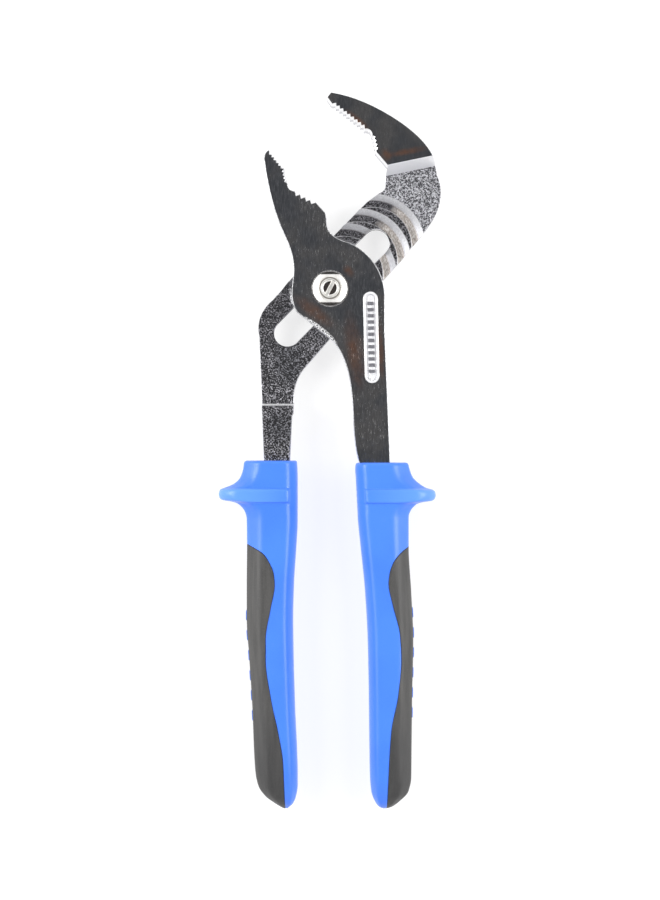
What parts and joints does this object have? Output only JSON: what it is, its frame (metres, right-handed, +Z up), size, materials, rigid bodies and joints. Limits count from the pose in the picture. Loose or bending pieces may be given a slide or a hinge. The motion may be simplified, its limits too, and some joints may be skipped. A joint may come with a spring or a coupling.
{
  "type": "tongue and groove pliers",
  "caption": "Adjustable slip-joint pliers with angled toothed jaws, a keyed pivot bolt that slides along a grooved slot, and two-tone cushioned grips with finger guards.",
  "frame": {"origin": "on the pivot bolt's axis, at the bolt head's back face, which is the plane the pliers lie on; the pivot is in the middle one of its seven stations", "axes": "+Z up, from the bolt head to the nut and out of the front lever's face; +Y from the handles to the jaws; +X towards the front lever's handle"},
  "size_m": [0.0778, 0.25, 0.0199],
  "materials": {
    "forged_front": "ground face, chromed, with fine brushed lines",
    "forged_rear": "shot-blasted forging, chromed",
    "bolt_steel": "satin",
    "washer_steel": "satin",
    "nut_plating": "nickel plated",
    "sleeve_plastic": "hard blue plastic, slightly satin",
    "inlay_rubber": "soft, matte, dark grey"
  },
  "bodies": {
    "rear_lever_body": {"rear_lever": "forged_rear", "left_grip_sleeve": "sleeve_plastic", "left_grip_inlay": "inlay_rubber"},
    "pivot": {"pivot_bolt": "bolt_steel", "pivot_washer": "washer_steel", "pivot_nut": "nut_plating"},
    "front_lever_body": {"front_lever": "forged_front", "right_grip_sleeve": "sleeve_plastic", "right_grip_inlay": "inlay_rubber"}
  },
  "joints": [
    {"name": "groove_slide", "type": "slide", "parent": "rear_lever_body", "child": "pivot", "axis": [0.7009, 0.7133, 0], "range_m": [-0.0213, 0.0213]},
    {"name": "jaw_hinge", "type": "hinge", "parent": "pivot", "child": "front_lever_body", "pos_m": [0, 0, 0.01], "axis": [0, 0, 1], "range_deg": [-3, 50]}
  ]
}
